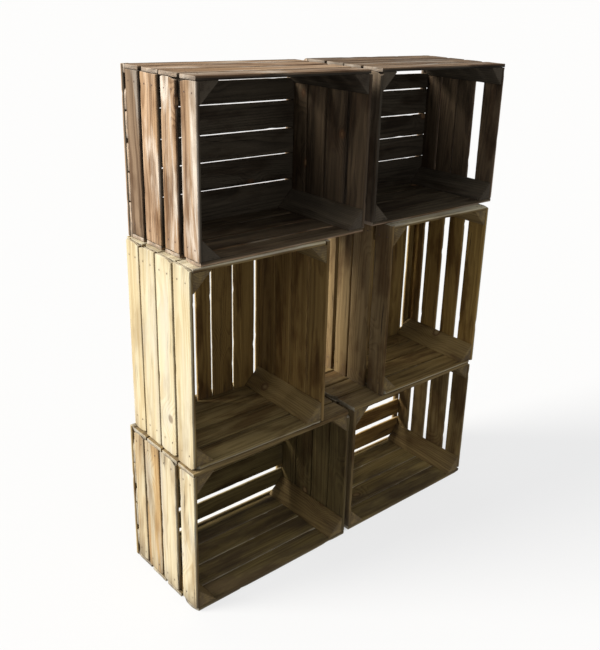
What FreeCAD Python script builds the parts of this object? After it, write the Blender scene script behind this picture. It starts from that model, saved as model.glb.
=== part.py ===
"""A free-standing shelf of six old wooden apple crates, stacked on their sides.

Each crate is nailed together from four triangular corner posts, four slatted sides,
a slatted bottom and two battens. It stands with its open top to the front, so the
crate's bottom is the back of the shelf. The bottom and top rows lie along their long
sides. The middle row stands on its short sides, with an open bay between its crates.

Millimetres, +Z up, +X to the right seen from the front, +Y to the back. The origin is
the middle of the footprint, on the floor.
"""

import FreeCAD
import Part

import os

SHEET = "Sizes"

# Driving dimensions that all six crates share.
SIZES = {
    "crate_length": 500,
    "crate_width": 400,
    "side_depth": 280,
    "slat_thickness": 10,
    "post_leg": 50,
    "board_thickness": 9,
    "batten_width": 20,
    "batten_thickness": 11,
    "nail_head_radius": 2.3,
    "nail_head_thickness": 1,
    "nail_shank_radius": 1,
    "nail_point_length": 3,
    "side_nail_length": 30,
    "side_nail_inset": 25,
    "back_nail_length": 38,
}

# A lying crate is crate_length wide and crate_width high. A standing one is the other
# way round. Its place is its front left corner, its turn is in degrees about that
# corner. Each side is four slats, given by where they start and end behind the
# opening; the boards of the back start from the left in a standing crate and from
# below in a lying one.
CRATES = {
    "bottom_left": {
        "standing": False,
        "row": 0,
        "place": (0, 0),
        "turn": 0,
        "left": ((0, 62), (84, 153), (161, 227), (235, 280)),
        "right": ((0, 68), (74, 140), (147, 212), (218, 280)),
        "upper": ((0, 68), (74, 141), (147, 213), (219, 280)),
        "lower": ((0, 64), (72, 138), (146, 211), (219, 280)),
        "back": ((0, 16), (32, 84), (99, 168), (171, 214), (229, 290), (293, 362), (379, 400)),
    },
    "bottom_right": {
        "standing": False,
        "row": 0,
        "place": (520, 5),
        "turn": 0,
        "left": ((0, 66), (74, 140), (149, 212), (220, 280)),
        "right": ((0, 58), (76, 146), (163, 216), (234, 280)),
        "upper": ((0, 72), (78, 143), (149, 212), (219, 280)),
        "lower": ((0, 67), (74, 140), (147, 211), (218, 280)),
        "back": ((0, 12), (25, 82), (99, 154), (172, 222), (238, 287), (303, 357), (382, 400)),
    },
    "middle_left": {
        "standing": True,
        "row": 1,
        "place": (6, 8),
        "turn": -0.7,
        "left": ((0, 68), (77, 145), (151, 219), (225, 280)),
        "right": ((0, 66), (72, 138), (144, 204), (212, 280)),
        "upper": ((0, 68), (74, 143), (149, 218), (224, 280)),
        "lower": ((0, 70), (77, 146), (152, 218), (224, 280)),
        "back": ((12, 82), (90, 170), (189, 233), (239, 302), (308, 374), (383, 400)),
    },
    "middle_right": {
        "standing": True,
        "row": 1,
        "place": (628, 10),
        "turn": -0.9,
        "left": ((0, 62), (74, 147), (153, 206), (220, 280)),
        "right": ((0, 62), (82, 137), (161, 222), (240, 280)),
        "upper": ((0, 66), (73, 140), (147, 212), (219, 280)),
        "lower": ((0, 68), (75, 141), (147, 212), (219, 280)),
        "back": ((20, 78), (84, 148), (154, 218), (224, 287), (292, 357), (370, 400)),
    },
    "top_left": {
        "standing": False,
        "row": 2,
        "place": (31, 8),
        "turn": 0.7,
        "left": ((0, 57), (78, 134), (152, 216), (229, 280)),
        "right": ((0, 63), (82, 147), (156, 222), (227, 280)),
        "upper": ((0, 60), (73, 139), (152, 218), (231, 280)),
        "lower": ((0, 57), (76, 136), (152, 216), (229, 280)),
        "back": ((0, 84), (87, 155), (158, 223), (226, 296), (299, 354), (380, 400)),
    },
    "top_right": {
        "standing": False,
        "row": 2,
        "place": (579, 35),
        "turn": 0.2,
        "left": ((0, 68), (76, 140), (148, 210), (218, 280)),
        "right": ((0, 62), (97, 157), (160, 221), (226, 280)),
        "upper": ((0, 66), (76, 136), (146, 202), (210, 280)),
        "lower": ((0, 66), (72, 140), (147, 212), (218, 280)),
        "back": ((0, 90), (93, 158), (161, 224), (227, 301), (304, 348), (380, 400)),
    },
}

# The height of each row's floor, in terms of the crate's own sides.
ROW_LEVELS = (
    "0 mm",
    "Sizes.crate_width",
    "Sizes.crate_width + Sizes.crate_length",
)

SIDES = ("left", "right", "upper", "lower")


def slat_cell(crate, wall, number, end):
    """The name of the cell that holds where one slat starts or ends."""
    return f"{crate}_{wall}_slat_{number}_{end}"


def fill_sheet(doc):
    """Puts every driving dimension in the spreadsheet, one named cell each."""
    values = dict(SIZES)
    values["middle_x"] = 0
    values["middle_y"] = 0
    for crate, spec in CRATES.items():
        values[f"{crate}_x"], values[f"{crate}_y"] = spec["place"]
        values[f"{crate}_turn"] = spec["turn"]
        for wall in SIDES + ("back",):
            for number, (start, end) in enumerate(spec[wall], 1):
                values[slat_cell(crate, wall, number, "start")] = start
                values[slat_cell(crate, wall, number, "end")] = end
    sheet = doc.addObject("Spreadsheet::Sheet", SHEET)
    for row, (name, value) in enumerate(values.items(), 1):
        sheet.set(f"A{row}", name)
        sheet.set(f"B{row}", str(value))
        sheet.setAlias(f"B{row}", name)
    doc.recompute()
    return sheet


def bind(item, **expressions):
    """Ties an object's sizes, or its place as x, y and z, to the sheet."""
    for name, expression in expressions.items():
        target = f"Placement.Base.{name}" if name in ("x", "y", "z") else name
        item.setExpression(target, expression)


def crate_span(standing):
    """A crate's width and height as it stands in the shelf."""
    if standing:
        return "Sizes.crate_width", "Sizes.crate_length"
    return "Sizes.crate_length", "Sizes.crate_width"


def put_in_shelf(item, crate):
    """Moves a finished sub-part from its crate's own frame to its place in the shelf."""
    level = ROW_LEVELS[CRATES[crate]["row"]]
    item.Placement = FreeCAD.Placement(
        FreeCAD.Vector(0, 0, 0),
        FreeCAD.Rotation(FreeCAD.Vector(0, 0, 1), CRATES[crate]["turn"]),
    )
    bind(
        item,
        x=f"Sizes.{crate}_x - Sizes.middle_x",
        y=f"Sizes.{crate}_y - Sizes.middle_y",
        z=level,
    )
    item.setExpression("Placement.Rotation.Angle", f"Sizes.{crate}_turn * 1 deg")


def group(doc, crate, name, pieces):
    """Gathers the solids of one kind in a crate as one named sub-part."""
    item = doc.addObject("Part::Compound", f"{crate}_{name}")
    item.Label = f"{crate}_{name}"
    item.Links = pieces
    put_in_shelf(item, crate)
    return item


def box(doc, name, size, place):
    """A piece of sawn wood whose size and place are expressions, each x, y and z."""
    piece = doc.addObject("Part::Box", name)
    bind(piece, Length=size[0], Width=size[1], Height=size[2])
    bind(piece, x=place[0], y=place[1], z=place[2])
    return piece


def side_slats(doc, crate, wall):
    """The four slats of one side.

    The slats of the two long sides run the crate's full length and cover the ends of
    the short sides' slats.
    """
    standing = CRATES[crate]["standing"]
    width, height = crate_span(standing)
    upright = wall in ("left", "right")
    covers_ends = upright == standing
    inset = "0 mm" if covers_ends else "Sizes.slat_thickness"
    run = height if upright else width
    length = run if covers_ends else f"{run} - 2 * Sizes.slat_thickness"
    far = {"right": width, "upper": height}.get(wall)
    offset = f"{far} - Sizes.slat_thickness" if far else "0 mm"
    pieces = []
    for number in range(1, len(CRATES[crate][wall]) + 1):
        start = "Sizes." + slat_cell(crate, wall, number, "start")
        end = "Sizes." + slat_cell(crate, wall, number, "end")
        across = f"{end} - {start}"
        if upright:
            size = ("Sizes.slat_thickness", across, length)
            place = (offset, start, inset)
        else:
            size = (length, across, "Sizes.slat_thickness")
            place = (inset, start, offset)
        pieces.append(box(doc, f"{crate}_{wall}_slat_{number}", size, place))
    return group(doc, crate, f"{wall}_slats", pieces)


def back_boards(doc, crate):
    """The boards of the crate's bottom, which run its full length."""
    standing = CRATES[crate]["standing"]
    pieces = []
    for number in range(1, len(CRATES[crate]["back"]) + 1):
        start = "Sizes." + slat_cell(crate, "back", number, "start")
        end = "Sizes." + slat_cell(crate, "back", number, "end")
        across = f"{end} - {start}"
        if standing:
            size = (across, "Sizes.board_thickness", "Sizes.crate_length")
            place = (start, "Sizes.side_depth", "0 mm")
        else:
            size = ("Sizes.crate_length", "Sizes.board_thickness", across)
            place = ("0 mm", "Sizes.side_depth", start)
        pieces.append(box(doc, f"{crate}_back_board_{number}", size, place))
    return group(doc, crate, "back_boards", pieces)


def back_battens(doc, crate):
    """Two battens across the ends of the back boards, from the first to the last."""
    standing = CRATES[crate]["standing"]
    last_board = len(CRATES[crate]["back"])
    first = "Sizes." + slat_cell(crate, "back", 1, "start")
    last = "Sizes." + slat_cell(crate, "back", last_board, "end")
    span = f"{last} - {first}"
    behind = "Sizes.side_depth + Sizes.board_thickness"
    far = "Sizes.crate_length - Sizes.batten_width"
    pieces = []
    for number, along in enumerate(("0 mm", far), 1):
        if standing:
            size = (span, "Sizes.batten_thickness", "Sizes.batten_width")
            place = (first, behind, along)
        else:
            size = ("Sizes.batten_width", "Sizes.batten_thickness", span)
            place = (along, behind, first)
        pieces.append(box(doc, f"{crate}_back_batten_{number}", size, place))
    return group(doc, crate, "back_battens", pieces)


def corner_posts(doc, crate):
    """Four posts of right-angled triangular section, one in each corner."""
    width, height = crate_span(CRATES[crate]["standing"])
    near = "Sizes.slat_thickness"
    corners = (
        (near, near, 0),
        (f"{width} - {near}", near, 270),
        (f"{width} - {near}", f"{height} - {near}", 180),
        (near, f"{height} - {near}", 90),
    )
    pieces = []
    for number, (across, up, roll) in enumerate(corners, 1):
        post = doc.addObject("Part::Wedge", f"{crate}_corner_post_{number}")
        post.Xmin = post.Ymin = post.Zmin = 0
        post.X2min = post.X2max = post.Z2min = 0
        bind(
            post,
            Xmax="Sizes.post_leg",
            Ymax="Sizes.post_leg",
            Zmax="Sizes.side_depth",
            Z2max="Sizes.side_depth",
        )
        upright = FreeCAD.Rotation(FreeCAD.Vector(1, 0, 0), 90)
        rolled = FreeCAD.Rotation(FreeCAD.Vector(0, 1, 0), roll)
        post.Placement = FreeCAD.Placement(FreeCAD.Vector(0, 0, 0), rolled * upright)
        bind(post, x=across, y="Sizes.side_depth", z=up)
        pieces.append(post)
    return group(doc, crate, "corner_posts", pieces)


def nail_shape(sheet, length):
    """One nail, its head's outer face at the origin and its shank down -Z."""
    head = sheet.nail_head_radius
    shank = sheet.nail_shank_radius
    under = -sheet.nail_head_thickness
    taper = sheet.nail_point_length - length
    outline = (
        (0, 0),
        (head, 0),
        (head, under),
        (shank, under),
        (shank, taper),
        (0, -length),
        (0, 0),
    )
    profile = Part.makePolygon([FreeCAD.Vector(across, 0, up) for across, up in outline])
    face = Part.Face(profile)
    return face.revolve(FreeCAD.Vector(0, 0, 0), FreeCAD.Vector(0, 0, 1), 360)


def driven(nail, place, inward):
    """A copy of a nail, driven at a place along the inward direction."""
    turn = FreeCAD.Rotation(FreeCAD.Vector(0, 0, -1), FreeCAD.Vector(*inward))
    copy = nail.copy()
    copy.Placement = FreeCAD.Placement(FreeCAD.Vector(*place), turn)
    return copy


def side_nails(sheet, crate, width, height):
    """Two nails through each end of each side slat, into the corner posts."""
    nail = nail_shape(sheet, sheet.side_nail_length)
    inset = sheet.slat_thickness + sheet.side_nail_inset
    faces = {
        "left": (0, (1, 0, 0), height),
        "right": (width, (-1, 0, 0), height),
        "lower": (0, (0, 0, 1), width),
        "upper": (height, (0, 0, -1), width),
    }
    nails = []
    for wall, (face, inward, run) in faces.items():
        for start, end in CRATES[crate][wall]:
            quarter = (end - start) / 4
            for behind in (start + quarter, end - quarter):
                for along in (inset, run - inset):
                    upright = wall in ("left", "right")
                    place = (face, behind, along) if upright else (along, behind, face)
                    nails.append(driven(nail, place, inward))
    return nails


def back_nails(sheet, crate):
    """A nail through each batten and board end, into the end of a side slat."""
    nail = nail_shape(sheet, sheet.back_nail_length)
    inset = sheet.slat_thickness / 2
    behind = sheet.side_depth + sheet.board_thickness + sheet.batten_thickness
    nails = []
    for start, end in CRATES[crate]["back"]:
        middle = (start + end) / 2
        for along in (inset, sheet.crate_length - inset):
            standing = CRATES[crate]["standing"]
            place = (middle, behind, along) if standing else (along, behind, middle)
            nails.append(driven(nail, place, (0, -1, 0)))
    return nails


def nails(doc, sheet, crate):
    """Every nail of one crate, as separate solids of one sub-part."""
    width, height = sheet.crate_length, sheet.crate_width
    if CRATES[crate]["standing"]:
        width, height = height, width
    item = doc.addObject("Part::Feature", f"{crate}_nails")
    item.Label = f"{crate}_nails"
    solids = side_nails(sheet, crate, width, height) + back_nails(sheet, crate)
    item.Shape = Part.makeCompound(solids)
    put_in_shelf(item, crate)
    return item


def build_crate(doc, sheet, crate):
    """All the sub-parts of one crate."""
    parts = [corner_posts(doc, crate)]
    parts += [side_slats(doc, crate, wall) for wall in SIDES]
    parts += [back_boards(doc, crate), back_battens(doc, crate)]
    parts.append(nails(doc, sheet, crate))
    return parts


def centre_on_footprint(doc, sheet, parts):
    """Puts the origin in the middle of everything, seen from above."""
    whole = FreeCAD.BoundBox()
    for part in parts:
        whole.add(part.Shape.optimalBoundingBox(False))
    sheet.set("middle_x", str(whole.Center.x))
    sheet.set("middle_y", str(whole.Center.y))
    doc.recompute()


def check(doc, parts):
    """Stops on a failed object or on a sub-part with no sound shape."""
    for item in doc.Objects:
        if "Invalid" in item.State or "Error" in item.State:
            raise RuntimeError(f"{item.Label} failed: {item.State}")
    for part in parts:
        if part.Shape.isNull() or not part.Shape.isValid() or not part.Shape.Solids:
            raise RuntimeError(f"{part.Label} has no sound shape")


def main():
    doc = FreeCAD.newDocument("apple_crate_shelf")
    sheet = fill_sheet(doc)
    parts = []
    for crate in CRATES:
        parts += build_crate(doc, sheet, crate)
    doc.recompute()
    centre_on_footprint(doc, sheet, parts)
    check(doc, parts)
    os.makedirs("parts", exist_ok=True)
    whole = FreeCAD.BoundBox()
    for part in parts:
        part.Shape.exportStep(f"parts/{part.Label}.step")
        whole.add(part.Shape.optimalBoundingBox(False))
    count = sum(len(part.Shape.Solids) for part in parts)
    print(len(parts), "sub-parts,", count, "solids")
    print("size", round(whole.XLength, 1), round(whole.YLength, 1), round(whole.ZLength, 1))
    print("x", round(whole.XMin, 2), round(whole.XMax, 2), "y", round(whole.YMin, 2), round(whole.YMax, 2))


main()
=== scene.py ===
"""The looks of the apple crate shelf: weathered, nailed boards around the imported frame.

Every slat, board, batten, post and nail is remeshed, worn, in the space that its CAD
solid holds. Only a long edge beside a gap may wander a little way into that gap.
Metres, +Z up, +Y to the back, in the frame of the CAD model.
"""

import math
import random

import bpy
import numpy as np
from mathutils import Matrix, Vector, kdtree, noise


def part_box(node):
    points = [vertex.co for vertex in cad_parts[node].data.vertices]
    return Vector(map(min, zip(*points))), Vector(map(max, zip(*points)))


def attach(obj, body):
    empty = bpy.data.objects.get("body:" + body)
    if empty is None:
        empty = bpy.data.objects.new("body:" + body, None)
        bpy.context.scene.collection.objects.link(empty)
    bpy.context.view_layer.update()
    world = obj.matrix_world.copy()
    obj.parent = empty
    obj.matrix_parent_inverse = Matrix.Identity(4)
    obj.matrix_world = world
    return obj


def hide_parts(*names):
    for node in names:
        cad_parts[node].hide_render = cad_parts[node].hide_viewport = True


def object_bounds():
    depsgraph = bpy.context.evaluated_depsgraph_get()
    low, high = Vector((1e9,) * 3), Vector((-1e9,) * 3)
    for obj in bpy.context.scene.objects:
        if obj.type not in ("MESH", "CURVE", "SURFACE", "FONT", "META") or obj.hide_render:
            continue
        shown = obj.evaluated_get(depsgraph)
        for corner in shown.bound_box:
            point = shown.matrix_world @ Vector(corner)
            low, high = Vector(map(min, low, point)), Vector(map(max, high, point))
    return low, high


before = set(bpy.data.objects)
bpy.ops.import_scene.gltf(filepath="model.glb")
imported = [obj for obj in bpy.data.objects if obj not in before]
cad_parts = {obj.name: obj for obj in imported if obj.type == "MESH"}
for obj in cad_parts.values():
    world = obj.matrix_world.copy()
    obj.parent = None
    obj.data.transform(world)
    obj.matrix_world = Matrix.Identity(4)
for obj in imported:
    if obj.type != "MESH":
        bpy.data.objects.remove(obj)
cad_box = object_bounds()

CRATES = (
    "bottom_left",
    "bottom_right",
    "middle_left",
    "middle_right",
    "top_left",
    "top_right",
)

# Sides that face a neighbouring crate: their outer faces are drawn towards the darker inner
# colour, as painted shade where the neighbour shades them.
PAINTED_SHADE_SIDES = (
    "bottom_left_right_slats",
    "bottom_left_upper_slats",
    "bottom_right_left_slats",
    "bottom_right_upper_slats",
    "middle_left_right_slats",
    "middle_right_left_slats",
    "top_left_right_slats",
    "top_right_left_slats",
)

# How light each left slat is and how warm a brown, from the opening to the back.
LEFT_SLATS = {
    "bottom_left": ((1.08, 0.0), (1.04, 0.1), (0.90, 1.0), (0.92, 0.5)),
    "middle_left": ((1.04, 0.45), (1.06, 0.3), (1.05, 0.5), (1.06, 0.6)),
    "top_left": ((0.88, 0.4), (0.92, 0.55), (1.02, 0.6), (0.52, 0.2)),
}

# How light the upper sides are, against the crate's other sides.
UPPER_SIDE_TONE = {
    "top_left_upper_slats": 0.74,
    "top_right_upper_slats": 0.40,
}

# Each inner side's colour, against the other inner sides of its crate: partly the wood's own
# colour, partly painted light and shade, lighter or darker as each inner side is lit.
INNER_TINT_AND_SHADE = {
    "bottom_left_back_boards": (0.80, 0.87, 0.80),
    "bottom_left_right_slats": (0.68, 0.72, 0.70),
    "bottom_left_lower_slats": (1.0, 1.08, 1.05),
    "bottom_right_back_boards": (1.40, 1.22, 0.92),
    "bottom_right_lower_slats": (1.25, 1.35, 1.30),
    "middle_left_back_boards": (1.30, 1.18, 0.92),
    "middle_left_right_slats": (1.12, 1.02, 0.86),
    "middle_left_lower_slats": (1.12, 1.20, 1.30),
    "middle_right_left_slats": (0.88, 0.80, 0.74),
    "middle_right_back_boards": (1.25, 1.15, 0.90),
    "middle_right_right_slats": (1.45, 1.32, 0.97),
    "middle_right_lower_slats": (1.10, 1.08, 1.0),
    "top_left_lower_slats": (1.20, 1.08, 0.92),
    "top_left_right_slats": (1.25, 1.08, 0.92),
    "top_right_lower_slats": (1.20, 1.15, 1.0),
    "top_right_right_slats": (1.25, 1.08, 0.92),
}

# Which way each flat sub-part's weathered outer face looks, in its crate's own frame.
OUTWARD = {
    "left_slats": (-1, 0, 0),
    "right_slats": (1, 0, 0),
    "upper_slats": (0, 0, 1),
    "lower_slats": (0, 0, -1),
    "back_boards": (0, 1, 0),
    "back_battens": (0, 1, 0),
}


# ---------------------------------------------------------------- reading the frame


# CAD corners that agree to this many digits are one point.
SAME_POINT_DIGITS = 5


def solids(node):
    """The corner points of each separate solid of a CAD node, one array each."""
    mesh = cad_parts[node].data
    points = np.empty(len(mesh.vertices) * 3)
    mesh.vertices.foreach_get("co", points)
    edges = np.empty(len(mesh.edges) * 2, dtype=np.int64)
    mesh.edges.foreach_get("vertices", edges)
    points = points.reshape(-1, 3).round(SAME_POINT_DIGITS)
    points, same = np.unique(points, axis=0, return_inverse=True)
    start, end = same.reshape(-1)[edges.reshape(-1, 2)].T
    label = np.arange(len(points))
    while True:
        lowest = label.copy()
        np.minimum.at(lowest, start, label[end])
        np.minimum.at(lowest, end, label[start])
        lowest = lowest[lowest]
        if (lowest == label).all():
            break
        label = lowest
    return [points[label == mark] for mark in np.unique(label)]


def turn_of(crate):
    """The angle that a crate is turned by about Z, read from the length of a slat."""
    plan = solids(f"{crate}_upper_slats")[0][:, :2]
    corners = np.unique(plan.round(SAME_POINT_DIGITS), axis=0)
    away = corners[1:] - corners[0]
    long_edge = away[np.argsort(np.hypot(away[:, 0], away[:, 1]))[1]]
    quarter = math.pi / 2
    angle = math.atan2(long_edge[1], long_edge[0])
    return angle - quarter * round(angle / quarter)


def unturned(points, turn):
    """Points of the shelf in a crate's own directions."""
    turned_back = np.array(Matrix.Rotation(-turn, 3, "Z"))
    return points @ turned_back.T


# ---------------------------------------------------------------- building meshes


class Surface:
    """Points, faces and per-point values of one piece while it is being put together."""

    VALUES = ("outer", "tone", "warm", "silver", "rust", "end", "tip", "damp")

    def __init__(self):
        self.points = []
        self.faces = []
        self.grain = []
        self.tint_and_shade = []
        self.values = {name: [] for name in self.VALUES}

    def add(self, points, faces, grain, tint_and_shade=(1.0, 1.0, 1.0), **values):
        first = sum(len(part) for part in self.points)
        self.points.append(points)
        self.faces += [tuple(corner + first for corner in face) for face in faces]
        self.grain.append(grain)
        self.tint_and_shade.append(np.broadcast_to(tint_and_shade, (len(points), 3)))
        for name in self.VALUES:
            value = np.broadcast_to(values.get(name, 0.0), len(points))
            self.values[name].append(value)

    def make(self, name, turn, material):
        """The finished object, turned into the shelf's frame."""
        mesh = bpy.data.meshes.new(name)
        points = np.concatenate(self.points)
        mesh.from_pydata(points.tolist(), [], self.faces)
        mesh.transform(Matrix.Rotation(turn, 4, "Z"))
        for label, parts in (("grain", self.grain), ("tint_and_shade", self.tint_and_shade)):
            vector = mesh.attributes.new(label, "FLOAT_VECTOR", "POINT")
            vector.data.foreach_set("vector", np.concatenate(parts).ravel())
        for label, parts in self.values.items():
            value = mesh.attributes.new(label, "FLOAT", "POINT")
            value.data.foreach_set("value", np.concatenate(parts))
        mesh.materials.append(material)
        mesh.polygons.foreach_set("use_smooth", [True] * len(mesh.polygons))
        mesh.update()
        piece = bpy.data.objects.new(name, mesh)
        bpy.context.scene.collection.objects.link(piece)
        return piece


def rough(values, seed, scale):
    """Smooth noise from -1 to 1 at each value, the same on every run."""
    return np.array([noise.noise(Vector((v * scale, 0.0, seed))) for v in values])


def rough2(first, second, seed, scale, cross_scale):
    """Smooth noise over two directions at once."""
    pairs = zip(first, second)
    return np.array([noise.noise(Vector((a * scale, b * cross_scale, seed))) for a, b in pairs])


def tube_faces(rings, around):
    """Quads between rings of points, and a fan on a middle point at each end."""
    faces = []
    for ring in range(rings - 1):
        for step in range(around):
            a = ring * around + step
            b = ring * around + (step + 1) % around
            faces.append((a, b, b + around, a + around))
    last = (rings - 1) * around
    near, far = rings * around, rings * around + 1
    for step in range(around):
        after = (step + 1) % around
        faces.append((after, step, near))
        faces.append((last + step, last + after, far))
    return faces


def outline(corners, radii, spacing):
    """A closed outline with rounded corners, its straights cut to about one spacing."""
    points = []
    count = len(corners)
    for number, corner in enumerate(corners):
        corner = np.array(corner, float)
        before = np.array(corners[number - 1], float) - corner
        after = np.array(corners[(number + 1) % count], float) - corner
        radius = radii[number]
        start = corner + before / np.linalg.norm(before) * radius
        end = corner + after / np.linalg.norm(after) * radius
        middle = (start + end + 2 * corner) / 4
        points += [start, middle, end]
        following = np.array(corners[(number + 1) % count], float)
        stop = following - after / np.linalg.norm(after) * radii[(number + 1) % count]
        cuts = max(1, round(np.linalg.norm(stop - end) / spacing))
        points += [end + (stop - end) * cut / cuts for cut in range(1, cuts)]
    return np.array(points)


RING_SPACING = 0.008
OUTLINE_SPACING = 0.008

# How far in from an end each of its rings stands, and how far that ring is drawn in.
END_ROUNDING = ((0.0, 0.0009), (0.0006, 0.0003), (0.0022, 0.0))


def stations(length):
    """Where the rings of a long piece stand, and how far each is drawn in."""
    inner = [place for place, _ in END_ROUNDING]
    span = length - 2 * inner[-1]
    count = max(2, round(span / RING_SPACING))
    places = inner[:-1] + [inner[-1] + span * n / count for n in range(count + 1)]
    places += [length - place for place in reversed(inner[:-1])]
    pulled = [pull for _, pull in END_ROUNDING[:-1]]
    pulls = pulled + [0.0] * (count + 1) + pulled[::-1]
    return np.array(places), np.array(pulls)


def swept(section, length):
    """Section points repeated along a length: along, across and up of each point."""
    places, pulls = stations(length)
    middle = section.mean(axis=0)
    rings = []
    for place, pull in zip(places, pulls):
        away = section - middle
        reach = np.linalg.norm(away, axis=1, keepdims=True)
        shrunk = section - away / reach * pull
        rings.append(np.column_stack([np.full(len(section), place), shrunk]))
    rings.append(np.array([[0.0, *middle], [length, *middle]]))
    return np.concatenate(rings), tube_faces(len(places), len(section))


def in_the_log(points, width, draw):
    """Points of a board in the log it was sawn from: along the pith, and out from it."""
    along, across, up = points.T
    spacing = draw.uniform(0.75, 1.3)
    lean_across = draw.uniform(-0.035, 0.035)
    lean_up = draw.uniform(-0.03, 0.03)
    out_across = across - width * draw.uniform(0.1, 0.9) + along * lean_across
    out_up = up + draw.uniform(0.015, 0.07) + along * lean_up
    first = draw.uniform(0, 40)
    return np.column_stack([along + first, out_across * spacing, out_up * spacing])


# How deep a sawn end's own colour goes, and how fast the stain behind it fades.
SAWN_DEPTH = 0.0004
TIP_FADE = 0.022


def end_values(along, length):
    """1 on the sawn ends, and a second value that fades from 1 over a few centimetres."""
    depth = np.minimum(along, length - along)
    end = np.where((along < SAWN_DEPTH) | (along > length - SAWN_DEPTH), 1.0, 0.0)
    return {"end": end, "tip": np.exp(-depth / TIP_FADE)}


def worn_edge(along, length, face, least, seed, draw):
    """How far a board's long edge is worn back: a slant, a wander and some chips."""
    wander = draw.uniform(0.0003, 0.0008)
    slant = draw.uniform(-0.0010, 0.0010) * (along / length - 0.5)
    edge = slant + wander * rough(along, seed, 6)
    edge += 0.0003 * rough(along, seed + 9, 45)
    for _ in range(draw.randint(1, 3)):
        place = draw.uniform(0, length)
        size = draw.uniform(0.005, 0.016)
        depth = draw.uniform(0.0006, 0.0026)
        side = face if draw.random() < 0.6 else 1 - face
        edge += depth * side * np.exp(-(((along - place) / size) ** 2))
    return np.clip(edge, least, None)


# How far along a board the wear of its sawn end is spread out.
END_WEAR_REACH = 0.03


def worn_end(near, far_across, across, up, seed, draw):
    """How far a sawn end is worn back, with now and then a broken corner."""
    short = 0.0009 + 0.0009 * rough2(across, up, seed, 30, 90)
    for corner in (across, far_across):
        if draw.random() < 0.35:
            depth = draw.uniform(0.002, 0.008)
            size = draw.uniform(0.004, 0.014)
            short = short + depth * np.exp(-((corner / size) ** 2))
    return np.clip(short, 0, None) * np.clip(1 - near / END_WEAR_REACH, 0, 1)


def worn_board(length, width, thick, leasts, draw):
    """A sawn board from the origin to its full size, worn, with its outer face up.

    Leasts are the smallest wear of its low and high long edge: below zero where the
    edge has a gap beside it to wander into.
    """
    radius = min(0.0016, thick / 4)
    corners = ((0, 0), (width, 0), (width, thick), (0, thick))
    section = outline(corners, (radius,) * 4, OUTLINE_SPACING)
    points, faces = swept(section, length)
    grain = in_the_log(points, width, draw)
    along, across, up = points.T.copy()
    outer = np.clip(up / thick, 0, 1)
    values = {"outer": outer, **end_values(along, length)}
    seed = draw.uniform(0, 500)

    first = worn_end(along, width - across, across, up, seed + 1.3, draw)
    last = worn_end(length - along, width - across, across, up, seed + 2.7, draw)
    low = worn_edge(along, length, outer, leasts[0], seed, draw)
    high = worn_edge(along, length, outer, leasts[1], seed + 4, draw)
    spare = width * 0.3
    low, high = np.minimum(low, spare), np.minimum(high, spare)
    dish = 0.0004 + 0.0004 * rough2(along, across, seed + 11, 7, 30)
    fuzz = 0.00012 * rough2(along, across, seed + 13, 40, 260)
    top = np.clip(dish + fuzz, 0, 0.0016)
    bottom = np.clip(0.0003 + 0.0003 * rough2(along, across, seed + 17, 6, 25), 0, 0.001)
    across = low + across / width * (width - low - high)
    up = bottom + up / thick * (thick - top - bottom)
    worn = np.column_stack([along + first - last, across, up])
    return worn, faces, grain, values


def worn_post(length, leg, draw):
    """A triangular post from its square corner at the origin, its legs across and up.

    It has no weathered outer face, and its ends have the colour of the rest.
    """
    corners = ((0, 0), (leg, 0), (0, leg))
    section = outline(corners, (0.001, 0.0035, 0.0035), OUTLINE_SPACING)
    points, faces = swept(section, length)
    grain = in_the_log(points, leg, draw)
    along, across, up = points.T.copy()
    values = {**end_values(along, length), "outer": 0.0, "end": 0.0}
    seed = draw.uniform(0, 500)
    slope = np.clip((across + up) / leg, 0, 1)
    worn_away = np.clip(0.0008 + 0.0008 * rough2(along, across, seed, 8, 40), 0, 0.003)
    worn_away = worn_away * slope / 2
    short = np.clip(0.0008 + 0.0008 * rough2(across, up, seed + 3, 40, 40), 0, 0.003)
    along = along + np.where(along < length / 2, short, -short)
    across = np.maximum(across - worn_away, 0)
    up = np.maximum(up - worn_away, 0)
    return np.column_stack([along, across, up]), faces, grain, values


# ---------------------------------------------------------------- nails


class Nail:
    """Where a nail is: its head's middle, the way it was driven, and its size."""

    def __init__(self, points):
        low, high = points.min(axis=0), points.max(axis=0)
        axis = int(np.argmax(high - low))
        spread = []
        for end in (low[axis], high[axis]):
            close = points[np.abs(points[:, axis] - end) < 0.0005]
            spread.append(np.ptp(close, axis=0).max())
        head = int(spread[1] > spread[0])
        self.length = (high - low)[axis]
        self.radius = max(spread) / 2
        self.head = (low + high) / 2
        self.head[axis] = (low, high)[head][axis]
        self.inward = np.zeros(3)
        self.inward[axis] = 1 if head == 0 else -1


NAIL_SIDES = 14

# How deep under its top a nail's head ends and its shank starts.
NAIL_HEAD = 0.0012


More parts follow.
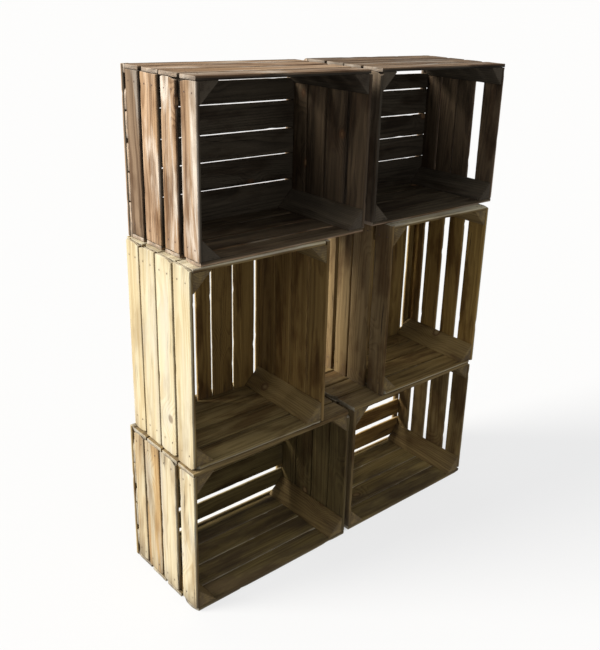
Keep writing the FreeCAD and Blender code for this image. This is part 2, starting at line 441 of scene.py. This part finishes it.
def nail_points(nail, draw):
    """A hammered nail: a lumpy, slightly domed head on a round, pointed shank."""
    reach = nail.radius
    shank = reach * 0.4
    profile = (
        (0.35 * reach, 0.0),
        (0.75 * reach, 0.00012),
        (0.97 * reach, 0.0004),
        (reach, 0.0007),
        (0.93 * reach, 0.0011),
        (shank, NAIL_HEAD),
        (shank, nail.length - 0.003),
        (0.15 * shank, nail.length - 0.0002),
    )
    across = Vector(nail.inward).orthogonal().normalized()
    beside = Vector(nail.inward).cross(across)
    lean = draw.uniform(0, 2 * math.pi)
    rings = []
    for radius, depth in profile:
        for step in range(NAIL_SIDES):
            angle = 2 * math.pi * step / NAIL_SIDES
            dent = 0.0
            lump = 1.0
            if depth < NAIL_HEAD:
                lump = 1 - 0.07 * (0.5 + 0.5 * math.sin(2 * angle + lean))
                dent = 0.00025 * (0.5 + 0.5 * math.cos(angle - lean))
            side = across * math.cos(angle) + beside * math.sin(angle)
            rings.append(Vector(nail.inward) * (depth + dent) + side * radius * lump)
    rings.append(Vector(nail.inward) * 0.0001)
    rings.append(Vector(nail.inward) * nail.length)
    points = np.array(rings) + nail.head
    return points, tube_faces(len(profile), NAIL_SIDES)


RUST_REACH = 0.009


def rust_near(points, heads):
    """1 at a nail head's middle, falling to 0 at the rust's reach from it."""
    values = []
    for point in points:
        _, _, distance = heads.find(point)
        values.append(max(0.0, 1 - distance / RUST_REACH))
    return np.array(values)


# ---------------------------------------------------------------- materials


class Nodes:
    """A small helper for the node tree of a material or of the world."""

    def __init__(self, owner):
        owner.use_nodes = True
        self.tree = owner.node_tree
        self.tree.nodes.clear()

    def put(self, socket, value):
        if isinstance(value, bpy.types.NodeSocket):
            self.tree.links.new(value, socket)
        else:
            socket.default_value = value

    def add(self, kind, inputs=None, **settings):
        node = self.tree.nodes.new(kind)
        for name, value in settings.items():
            setattr(node, name, value)
        for name, value in (inputs or {}).items():
            self.put(node.inputs[name], value)
        return node

    def attribute(self, name, vector=False):
        node = self.add("ShaderNodeAttribute", attribute_name=name)
        return node.outputs["Vector" if vector else "Fac"]

    def math(self, operation, first, second=0.0, clamp=False):
        node = self.add("ShaderNodeMath", operation=operation, use_clamp=clamp)
        self.put(node.inputs[0], first)
        self.put(node.inputs[1], second)
        return node.outputs[0]

    def scaled(self, vector, scale, offset=(0, 0, 0)):
        inputs = {"Vector": vector, "Scale": scale, "Location": offset}
        return self.add("ShaderNodeMapping", inputs).outputs[0]

    def noise(self, vector, scale=1.0, detail=4.0, roughness=0.55, warp=0.0):
        inputs = {
            "Vector": vector,
            "Scale": scale,
            "Detail": detail,
            "Roughness": roughness,
            "Distortion": warp,
        }
        return self.add("ShaderNodeTexNoise", inputs).outputs["Fac"]

    def spread(self, value, low, high, to_low=0.0, to_high=1.0):
        """Value from low to high, eased and clamped, as to_low to to_high."""
        inputs = {
            "Value": value,
            "From Min": low,
            "From Max": high,
            "To Min": to_low,
            "To Max": to_high,
        }
        node = self.add("ShaderNodeMapRange", inputs, interpolation_type="SMOOTHSTEP")
        return node.outputs[0]

    def mix(self, factor, first, second, blend="MIX"):
        """A mix of two colours, each a socket or three numbers."""
        node = self.add("ShaderNodeMix", data_type="RGBA", blend_type=blend)
        for place, value in ((0, factor), (6, first), (7, second)):
            if isinstance(value, tuple):
                value = (*value, 1.0)
            self.put(node.inputs[place], value)
        return node.outputs[2]

    def painted(self, amount, strength, colour, paint):
        """Colour with paint laid over it, where and as far as amount says."""
        return self.mix(self.math("MULTIPLY", amount, strength), colour, paint)

    def total(self, first, *parts):
        """First with each part, a value and its weight, added to it."""
        for value, weight in parts:
            first = self.math("ADD", first, self.math("MULTIPLY", value, weight))
        return first

    def bump(self, height, strength, distance):
        inputs = {"Height": height, "Strength": strength, "Distance": distance}
        return self.add("ShaderNodeBump", inputs).outputs[0]

    def end(self, kind, shader):
        """The output node, which shows a shader on the surface."""
        self.put(self.add(kind).inputs["Surface"], shader)


def knots(nodes, grain):
    """Scattered knots: their dark rim, their core, and how close a point is to one."""
    cells = nodes.scaled(grain, (6.5, 8.5, 3))
    voronoi = nodes.add("ShaderNodeTexVoronoi", {"Vector": cells, "Scale": 1.0})
    apart = nodes.add("ShaderNodeSeparateColor", {"Color": voronoi.outputs["Color"]})
    chosen = nodes.math("GREATER_THAN", apart.outputs[0], 0.55)
    distance = voronoi.outputs["Distance"]
    core = nodes.math("MULTIPLY", nodes.spread(distance, 0.085, 0.05), chosen)
    rim = nodes.math("MULTIPLY", nodes.spread(distance, 0.125, 0.09), chosen)
    near = nodes.math("MULTIPLY", nodes.spread(distance, 0.42, 0.06), chosen)
    return rim, core, near


def growth_rings(nodes, grain, near_knot):
    """Dark late wood at the end of each year, bent round the knots."""
    sway = nodes.noise(nodes.scaled(grain, (2.4, 11, 11), (7, 2, 1)), detail=2)
    out = nodes.add("ShaderNodeVectorMath", operation="LENGTH")
    nodes.put(out.inputs[0], nodes.scaled(grain, (0, 1, 1)))
    year = nodes.math("MULTIPLY", out.outputs["Value"], 190)
    year = nodes.total(year, (sway, 4.0), (near_knot, 3.0))
    season = nodes.math("FRACT", year)
    rise = nodes.spread(season, 0.25, 0.88)
    fall = nodes.spread(season, 0.90, 1.0)
    return nodes.math("SUBTRACT", rise, fall)


def drying_cracks(nodes, grain):
    """Thin dark cracks that run along the fibres for a few centimetres."""
    lines = nodes.noise(nodes.scaled(grain, (2.6, 170, 170), (9, 4, 2)), detail=2)
    stretch = nodes.noise(nodes.scaled(grain, (5, 22, 22), (1, 8, 3)), detail=1)
    thin = nodes.spread(lines, 0.66, 0.70)
    return nodes.math("MULTIPLY", thin, nodes.spread(stretch, 0.46, 0.56))


def wood_marks(nodes, grain):
    """The fibres, streaks, knots, year rings and cracks of a log, by name."""
    rim, core, near = knots(nodes, grain)
    return {
        "fibre": nodes.noise(nodes.scaled(grain, (9, 430, 430)), detail=5, roughness=0.7),
        "streak": nodes.noise(nodes.scaled(grain, (2.4, 60, 60), (3, 1, 5)), detail=5),
        "rim": rim,
        "core": core,
        "near": near,
        "ring": growth_rings(nodes, grain, near),
        "crack": drying_cracks(nodes, grain),
    }


def figure_of(nodes, marks):
    """How dark the wood's own pattern is, from 0 to 1."""
    figure = nodes.math("MULTIPLY", nodes.spread(marks["fibre"], 0.3, 0.7), 0.30)
    figure = nodes.math("ADD", figure, nodes.math("MULTIPLY", marks["ring"], 0.38))
    broad = nodes.math("MULTIPLY", nodes.spread(marks["streak"], 0.32, 0.68), 0.50)
    return nodes.math("ADD", figure, broad, clamp=True)


def weathered(nodes, grain, marks, figure, colour, warm, silver):
    """The outside of a board: browner in blushes, and silver in patches."""
    blush = nodes.noise(nodes.scaled(grain, (3.5, 18, 18), (8, 3, 6)), detail=3)
    blush = nodes.spread(blush, 0.42, 0.58, 0.25, 1.0)
    colour = nodes.painted(nodes.attribute("warm"), blush, colour, nodes.mix(figure, *warm))
    patches = nodes.noise(nodes.scaled(grain, (3.2, 24, 24), (2, 6, 9)), detail=6, warp=0.6)
    frost = nodes.total(patches, (marks["fibre"], 0.35), (marks["near"], 0.10))
    frost = nodes.spread(frost, 0.66, 0.86)
    return nodes.painted(frost, nodes.attribute("silver"), colour, silver)


def marked(nodes, grain, marks, facing, colour, warm, silver, stain):
    """A board's colour under its dirt, knots, cracks, rust, damp and greyed ends."""
    fibre, streak = marks["fibre"], marks["streak"]
    blots = nodes.noise(nodes.scaled(grain, (5, 17, 17), (5, 5, 5)), detail=6)
    dirt = nodes.spread(blots, 0.48, 0.66)
    dirt = nodes.math("MULTIPLY", dirt, nodes.spread(facing, 0.0, 1.0, 0.75, stain))
    colour = nodes.mix(dirt, colour, (0.36, 0.26, 0.17), blend="MULTIPLY")
    colour = nodes.painted(marks["rim"], 0.62, colour, (0.10, 0.045, 0.018))
    colour = nodes.painted(marks["core"], 0.55, colour, nodes.mix(0.5, *warm))
    colour = nodes.painted(marks["crack"], 0.8, colour, (0.020, 0.013, 0.008))

    rust = nodes.math("MULTIPLY", nodes.attribute("rust"), nodes.spread(fibre, 0.25, 0.75))
    colour = nodes.mix(nodes.spread(rust, 0.05, 0.9, 0, 0.6), colour, (0.05, 0.022, 0.011))
    tip = nodes.math("MULTIPLY", nodes.attribute("tip"), nodes.spread(streak, 0.3, 0.7))
    colour = nodes.painted(tip, 0.45, colour, (0.15, 0.115, 0.08))
    damp = nodes.math("MULTIPLY", nodes.attribute("damp"), nodes.spread(blots, 0.35, 0.6))
    colour = nodes.painted(damp, 0.7, colour, (0.10, 0.072, 0.042))
    greyed = tuple(part * 0.62 for part in silver)
    return nodes.painted(nodes.attribute("end"), 0.32, colour, greyed)


def wood_relief(nodes, grain, marks):
    """The bumps of fibres, rings and saw marks, and the dips of cracks and knots."""
    height = nodes.math("MULTIPLY", marks["fibre"], 0.55)
    height = nodes.total(height, (marks["ring"], 0.18), (marks["streak"], 0.35))
    height = nodes.math("SUBTRACT", height, nodes.math("MULTIPLY", marks["crack"], 0.9))
    height = nodes.math("SUBTRACT", height, nodes.math("MULTIPLY", marks["rim"], 0.2))
    saw = nodes.noise(nodes.scaled(grain, (300, 9, 9), (4, 4, 0)), detail=2)
    height = nodes.total(height, (saw, 0.12))
    return nodes.bump(height, strength=0.8, distance=0.0016)


def wood(name, outer, inner, warm, silver, stain):
    """Old sawn wood, weathered outside and darker inside the crate.

    Outer and inner are pairs of a light and a dark colour. Warm and silver are what
    single boards and patches tend to, and stain is how strong the dark patches are.
    """
    material = bpy.data.materials.new(name)
    nodes = Nodes(material)
    grain = nodes.attribute("grain", vector=True)
    marks = wood_marks(nodes, grain)
    figure = figure_of(nodes, marks)
    outside = nodes.mix(figure, *outer)
    outside = weathered(nodes, grain, marks, figure, outside, warm, silver)
    # The inner sides' tint is partly the wood's own colour and partly painted light and shade.
    tint_and_shade = nodes.attribute("tint_and_shade", vector=True)
    inside = nodes.mix(1.0, nodes.mix(figure, *inner), tint_and_shade, blend="MULTIPLY")

    facing = nodes.spread(nodes.attribute("outer"), 0.35, 0.85)
    colour = nodes.mix(facing, inside, outside)
    tone = nodes.attribute("tone")
    shade = nodes.add("ShaderNodeCombineColor", {0: tone, 1: tone, 2: tone}).outputs[0]
    colour = nodes.mix(1.0, colour, shade, blend="MULTIPLY")
    colour = marked(nodes, grain, marks, facing, colour, warm, silver, stain)
    settings = {
        "Base Color": colour,
        "Roughness": nodes.spread(marks["streak"], 0.3, 0.75, 0.70, 0.93),
        "Specular IOR Level": 0.22,
        "Normal": wood_relief(nodes, grain, marks),
    }
    shader = nodes.add("ShaderNodeBsdfPrincipled", settings)
    nodes.end("ShaderNodeOutputMaterial", shader.outputs[0])
    return material


def rusty_steel():
    """Nail heads: dull steel under patchy brown rust."""
    material = bpy.data.materials.new("rusty_nail")
    nodes = Nodes(material)
    place = nodes.attribute("grain", vector=True)
    patches = nodes.noise(place, scale=900, detail=5, roughness=0.65)
    pits = nodes.noise(place, scale=3500, detail=3)
    rust = nodes.spread(patches, 0.36, 0.56)
    colour = nodes.mix(rust, (0.16, 0.15, 0.145), (0.095, 0.036, 0.016))
    colour = nodes.mix(nodes.spread(pits, 0.5, 0.7, 0, 0.6), colour, (0.022, 0.013, 0.009))
    settings = {
        "Base Color": colour,
        "Metallic": nodes.spread(patches, 0.56, 0.36, 0.0, 0.85),
        "Roughness": nodes.spread(pits, 0.3, 0.7, 0.5, 0.85),
        "Normal": nodes.bump(pits, strength=0.5, distance=0.0003),
    }
    shader = nodes.add("ShaderNodeBsdfPrincipled", settings)
    nodes.end("ShaderNodeOutputMaterial", shader.outputs[0])
    return material


# ---------------------------------------------------------------- the crates


def board_frame(low, high, outward):
    """Which axes a board's length, width and thickness run along."""
    size = high - low
    thickness = int(np.argmax(np.abs(outward)))
    flat = [axis for axis in range(3) if axis != thickness]
    length, width = sorted(flat, key=lambda axis: -size[axis])
    return length, width, thickness


def place_board(points, low, high, axes, outward):
    """Points of a board from the origin, put where the CAD solid is."""
    length, width, thickness = axes
    placed = np.empty_like(points)
    placed[:, length] = low[length] + points[:, 0]
    placed[:, width] = low[width] + points[:, 1]
    if outward[thickness] > 0:
        placed[:, thickness] = low[thickness] + points[:, 2]
    else:
        placed[:, thickness] = high[thickness] - points[:, 2]
    return placed


def flipped(faces, axes, outward):
    """The faces wound the other way where the board's axes are left-handed."""
    length, width, thickness = axes
    even = (length, width, thickness) in ((0, 1, 2), (1, 2, 0), (2, 0, 1))
    right_handed = even == (outward[thickness] > 0)
    return faces if right_handed else [face[::-1] for face in faces]


# The smallest wear of a long edge, which may wander into a gap but not out of its side.
BESIDE_GAP = -0.0007
OUTERMOST = 0.0001


def long_edges(low, high, side_low, side_high, axis):
    """The smallest wear of a board's low and high long edge, given its side's corners."""
    at_low = abs(low[axis] - side_low[axis]) < 0.001
    at_high = abs(high[axis] - side_high[axis]) < 0.001
    return [OUTERMOST if at_side else BESIDE_GAP for at_side in (at_low, at_high)]


DAMP_HEIGHT = 0.07


def dampness(points):
    """1 on the ground, falling to 0 at the damp's height above it."""
    return np.clip(1 - (points[:, 2] - cad_box[0].z) / DAMP_HEIGHT, 0, 1)


# How much of the pale outer colour a side between crates keeps; the rest is the darker inner
# colour, as painted shade.
PAINTED_SHADE_OUTER = 0.45


def boards(crate, kind, turn, heads, look, draw):
    """All the boards of one flat sub-part of a crate, as one piece."""
    surface = Surface()
    node = f"{crate}_{kind}"
    outward = OUTWARD[kind]
    left = LEFT_SLATS.get(crate) if kind == "left_slats" else None
    # The inner side's tint: partly its own colour, partly painted light and shade.
    tint_and_shade = INNER_TINT_AND_SHADE.get(node, (1.0, 1.0, 1.0))
    upper_side_tone = UPPER_SIDE_TONE.get(node, 1.0)
    pieces = [unturned(solid, turn) for solid in solids(node)]
    side_low = np.min([corners.min(axis=0) for corners in pieces], axis=0)
    side_high = np.max([corners.max(axis=0) for corners in pieces], axis=0)
    pieces.sort(key=lambda corners: (corners[:, 1].min().round(4), corners[:, 2].min()))
    for number, corners in enumerate(pieces):
        low, high = corners.min(axis=0), corners.max(axis=0)
        axes = board_frame(low, high, outward)
        size = (high - low)[list(axes)]
        leasts = long_edges(low, high, side_low, side_high, axes[1])
        points, faces, grain, values = worn_board(*size, leasts, draw)
        placed = place_board(points, low, high, axes, outward)
        faces = flipped(faces, axes, outward)
        values["tone"] = draw.uniform(*look["tones"]) * upper_side_tone
        values["warm"] = draw.uniform(*look["warmth"])
        if left:
            values["tone"], values["warm"] = left[number]
        values["silver"] = draw.uniform(*look["silver"])
        # A side between crates is darkened towards the inner colour: painted shade.
        if node in PAINTED_SHADE_SIDES:
            values["outer"] = values["outer"] * PAINTED_SHADE_OUTER
        values["outer"] = np.maximum(values["outer"], values["end"])
        values["rust"] = rust_near(placed, heads)
        values["damp"] = dampness(placed)
        surface.add(placed, faces, grain, tint_and_shade, **values)
    return surface.make(f"{node}_wood", turn, look["material"])


def posts(crate, turn, look, draw):
    """The four triangular posts of a crate, as one piece."""
    surface = Surface()
    for solid in solids(f"{crate}_corner_posts"):
        corners = unturned(solid, turn)
        low, high = corners.min(axis=0), corners.max(axis=0)
        across, up = corners[:, 0], corners[:, 2]
        middle_x, middle_z = (low[0] + high[0]) / 2, (low[2] + high[2]) / 2
        side = 1 if (across > middle_x).sum() < (across < middle_x).sum() else -1
        rise = 1 if (up > middle_z).sum() < (up < middle_z).sum() else -1
        size = high - low
        points, faces, grain, values = worn_post(size[1], size[0], draw)
        placed = np.empty_like(points)
        placed[:, 0] = (low[0] if side > 0 else high[0]) + side * points[:, 1]
        placed[:, 1] = low[1] + points[:, 0]
        placed[:, 2] = (low[2] if rise > 0 else high[2]) + rise * points[:, 2]
        if side * rise > 0:
            faces = [face[::-1] for face in faces]
        values["tone"] = draw.uniform(*look["tones"])
        surface.add(placed, faces, grain, **values)
    return surface.make(f"{crate}_corner_posts_wood", turn, look["material"])


def nails(crate, turn, found, material, draw):
    """All the nails of a crate, as one piece."""
    surface = Surface()
    for nail in found:
        points, faces = nail_points(nail, draw)
        surface.add(points, faces, points)
    return surface.make(f"{crate}_nails_steel", turn, material)


def crate_looks():
    """The three rows' woods: tan below, pale in the middle, dark on top."""
    tan = wood(
        "tan_crate_wood",
        outer=((0.66, 0.60, 0.43), (0.46, 0.36, 0.21)),
        inner=((0.32, 0.22, 0.085), (0.14, 0.088, 0.032)),
        warm=((0.60, 0.42, 0.20), (0.38, 0.22, 0.09)),
        silver=(0.47, 0.45, 0.40),
        stain=0.50,
    )
    pale = wood(
        "pale_crate_wood",
        outer=((0.67, 0.62, 0.45), (0.51, 0.42, 0.25)),
        inner=((0.33, 0.23, 0.09), (0.145, 0.092, 0.032)),
        warm=((0.60, 0.48, 0.26), (0.42, 0.29, 0.13)),
        silver=(0.56, 0.53, 0.46),
        stain=0.34,
    )
    dark = wood(
        "dark_crate_wood",
        outer=((0.60, 0.42, 0.27), (0.18, 0.10, 0.052)),
        inner=((0.105, 0.082, 0.054), (0.038, 0.029, 0.019)),
        warm=((0.55, 0.34, 0.17), (0.20, 0.105, 0.046)),
        silver=(0.78, 0.70, 0.60),
        stain=0.80,
    )
    return {
        "bottom": {
            "material": tan,
            "slot": "tan_wood",
            "tones": (0.82, 1.05),
            "warmth": (0.0, 0.7),
            "silver": (0.2, 0.8),
        },
        "middle": {
            "material": pale,
            "slot": "pale_wood",
            "tones": (0.88, 1.05),
            "warmth": (0.0, 0.5),
            "silver": (0.1, 0.6),
        },
        "top": {
            "material": dark,
            "slot": "dark_wood",
            "tones": (0.80, 1.12),
            "warmth": (0.1, 0.8),
            "silver": (0.5, 1.0),
        },
    }


def dress_crate(crate, look, steel, draw):
    """Replaces every CAD node of a crate by its finished piece."""
    turn = turn_of(crate)
    found = [Nail(unturned(solid, turn)) for solid in solids(f"{crate}_nails")]
    heads = kdtree.KDTree(len(found))
    for number, nail in enumerate(found):
        heads.insert(nail.head, number)
    heads.balance()
    made = {kind: boards(crate, kind, turn, heads, look, draw) for kind in OUTWARD}
    made["corner_posts"] = posts(crate, turn, look, draw)
    for kind, piece in made.items():
        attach(piece, f"{crate}_crate")
        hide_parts(f"{crate}_{kind}")
    piece = nails(crate, turn, found, steel, draw)
    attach(piece, f"{crate}_crate")
    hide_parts(f"{crate}_nails")


# ---------------------------------------------------------------- stage


# The key light, the even fill and the floor, set so that open floor is nearly white.
KEY_TRAVEL = Vector((1.0, -0.50, -0.76))
KEY_ENERGY = 5.6
KEY_SOFTNESS = math.radians(28)
KEY_COLOUR = (1.0, 0.965, 0.90)
FILL_COLOUR = (0.95, 0.97, 1.0)
FILL = 0.43
FLOOR_PAINT = 0.16
FLOOR_GLOW = 0.76
COVERED_PAINT = 0.80
FLOOR_REACH = 60.0
FLOOR_DROP = 0.0005

# How far each frame of the floor reaches past the shelf, the first two inside it.
FLOOR_MARGINS = (-0.04, -0.005, FLOOR_REACH)


def opaque(colour):
    """A colour as a socket takes it, with its alpha."""
    return (*colour, 1.0)


def floor_material():
    """Plain pale ground that glows a little, but not under the shelf.

    The glow keeps the shelf's shadow on it faint. Under the crates it is plain paint,
    so the ground seen between the lowest slats is as dark as real ground.
    """
    material = bpy.data.materials.new("pale_floor")
    nodes = Nodes(material)
    open_ground = nodes.attribute("open_ground")
    matt = nodes.add("ShaderNodeBsdfDiffuse", {"Color": opaque((FLOOR_PAINT,) * 3)})
    glow = nodes.add("ShaderNodeEmission", {"Color": opaque((1.0,) * 3)})
    nodes.put(glow.inputs["Strength"], FLOOR_GLOW)
    both = nodes.add("ShaderNodeAddShader")
    nodes.put(both.inputs[0], matt.outputs[0])
    nodes.put(both.inputs[1], glow.outputs[0])
    covered = nodes.add("ShaderNodeBsdfDiffuse", {"Color": opaque((COVERED_PAINT,) * 3)})
    either = nodes.add("ShaderNodeMixShader", {0: open_ground})
    nodes.put(either.inputs[1], covered.outputs[0])
    nodes.put(either.inputs[2], both.outputs[0])
    nodes.end("ShaderNodeOutputMaterial", either.outputs[0])
    return material


def pale_floor():
    """The ground, as nested frames of quads round the shelf's footprint."""
    level = cad_box[0].z - FLOOR_DROP
    left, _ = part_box("bottom_left_lower_slats")
    _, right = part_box("bottom_right_lower_slats")
    points, faces = [], []
    for margin in FLOOR_MARGINS:
        x0, y0 = left[0] - margin, cad_box[0].y - margin
        x1, y1 = right[0] + margin, cad_box[1].y + margin
        points += [(x0, y0, level), (x1, y0, level), (x1, y1, level), (x0, y1, level)]
    faces.append((0, 1, 2, 3))
    for ring in range(len(FLOOR_MARGINS) - 1):
        for side in range(4):
            a = ring * 4 + side
            b = ring * 4 + (side + 1) % 4
            faces.append((a, a + 4, b + 4, b))
    mesh = bpy.data.meshes.new("floor")
    mesh.from_pydata(points, [], faces)
    open_ground = mesh.attributes.new("open_ground", "FLOAT", "POINT")
    open_ground.data.foreach_set("value", [0.0] * 4 + [1.0] * 8)
    mesh.materials.append(floor_material())
    floor = bpy.data.objects.new("floor", mesh)
    bpy.context.scene.collection.objects.link(floor)
    # The floor's glow and paint throw no light back on the shelf.
    floor.visible_diffuse = False
    floor.visible_glossy = False


def open_floor():
    """How bright the lit open floor looks, which the backdrop carries on."""
    fall = -KEY_TRAVEL.normalized().z
    return [
        FLOOR_GLOW + FLOOR_PAINT * (KEY_ENERGY * key * fall / math.pi + FILL * fill)
        for key, fill in zip(KEY_COLOUR, FILL_COLOUR)
    ]


def studio_world():
    """An even fill for the object under a pale backdrop."""
    world = bpy.data.worlds.new("studio")
    bpy.context.scene.world = world
    nodes = Nodes(world)
    seen = nodes.add("ShaderNodeLightPath").outputs["Is Camera Ray"]
    fill = nodes.add("ShaderNodeBackground", {"Color": opaque(FILL_COLOUR), "Strength": FILL})
    backdrop = nodes.add("ShaderNodeBackground", {"Color": opaque(open_floor())})
    either = nodes.add("ShaderNodeMixShader", {0: seen})
    nodes.put(either.inputs[1], fill.outputs[0])
    nodes.put(either.inputs[2], backdrop.outputs[0])
    nodes.end("ShaderNodeOutputWorld", either.outputs[0])


def key_light():
    """One broad soft key from the left of the shelf, above it and a little behind."""
    light = bpy.data.lights.new("key", "SUN")
    light.energy = KEY_ENERGY
    light.color = KEY_COLOUR
    light.angle = KEY_SOFTNESS
    key = bpy.data.objects.new("key", light)
    key.rotation_mode = "QUATERNION"
    key.rotation_quaternion = KEY_TRAVEL.to_track_quat("-Z", "Y")
    bpy.context.scene.collection.objects.link(key)


YAW, PITCH, ROLL = (math.radians(angle) for angle in (43.37, 20.17, 2.64))
EYE = (-1.4094, -1.5700, 1.4633)


def camera():
    """The camera, high at the left front corner, a little rolled and shifted."""
    lens = bpy.data.cameras.new("camera")
    lens.lens = 44.82
    lens.shift_x = -0.0672
    lens.shift_y = -0.0503
    lens.clip_end = 200
    eye = bpy.data.objects.new("camera", lens)
    facing = Matrix.Rotation(-YAW, 4, "Z") @ Matrix.Rotation(math.pi / 2 - PITCH, 4, "X")
    facing = facing @ Matrix.Rotation(ROLL, 4, "Z")
    eye.matrix_world = Matrix.Translation(EYE) @ facing
    bpy.context.scene.collection.objects.link(eye)
    bpy.context.scene.camera = eye


FIRST_SEED = 11


def main():
    """The whole scene. Each crate has its own seed, so one crate can change alone."""
    camera()
    key_light()
    studio_world()
    pale_floor()
    looks = crate_looks()
    steel = rusty_steel()
    for number, crate in enumerate(CRATES):
        row = crate.split("_")[0]
        dress_crate(crate, looks[row], steel, random.Random(FIRST_SEED + number))
    bpy.context.scene.view_settings.view_transform = "Standard"


main()
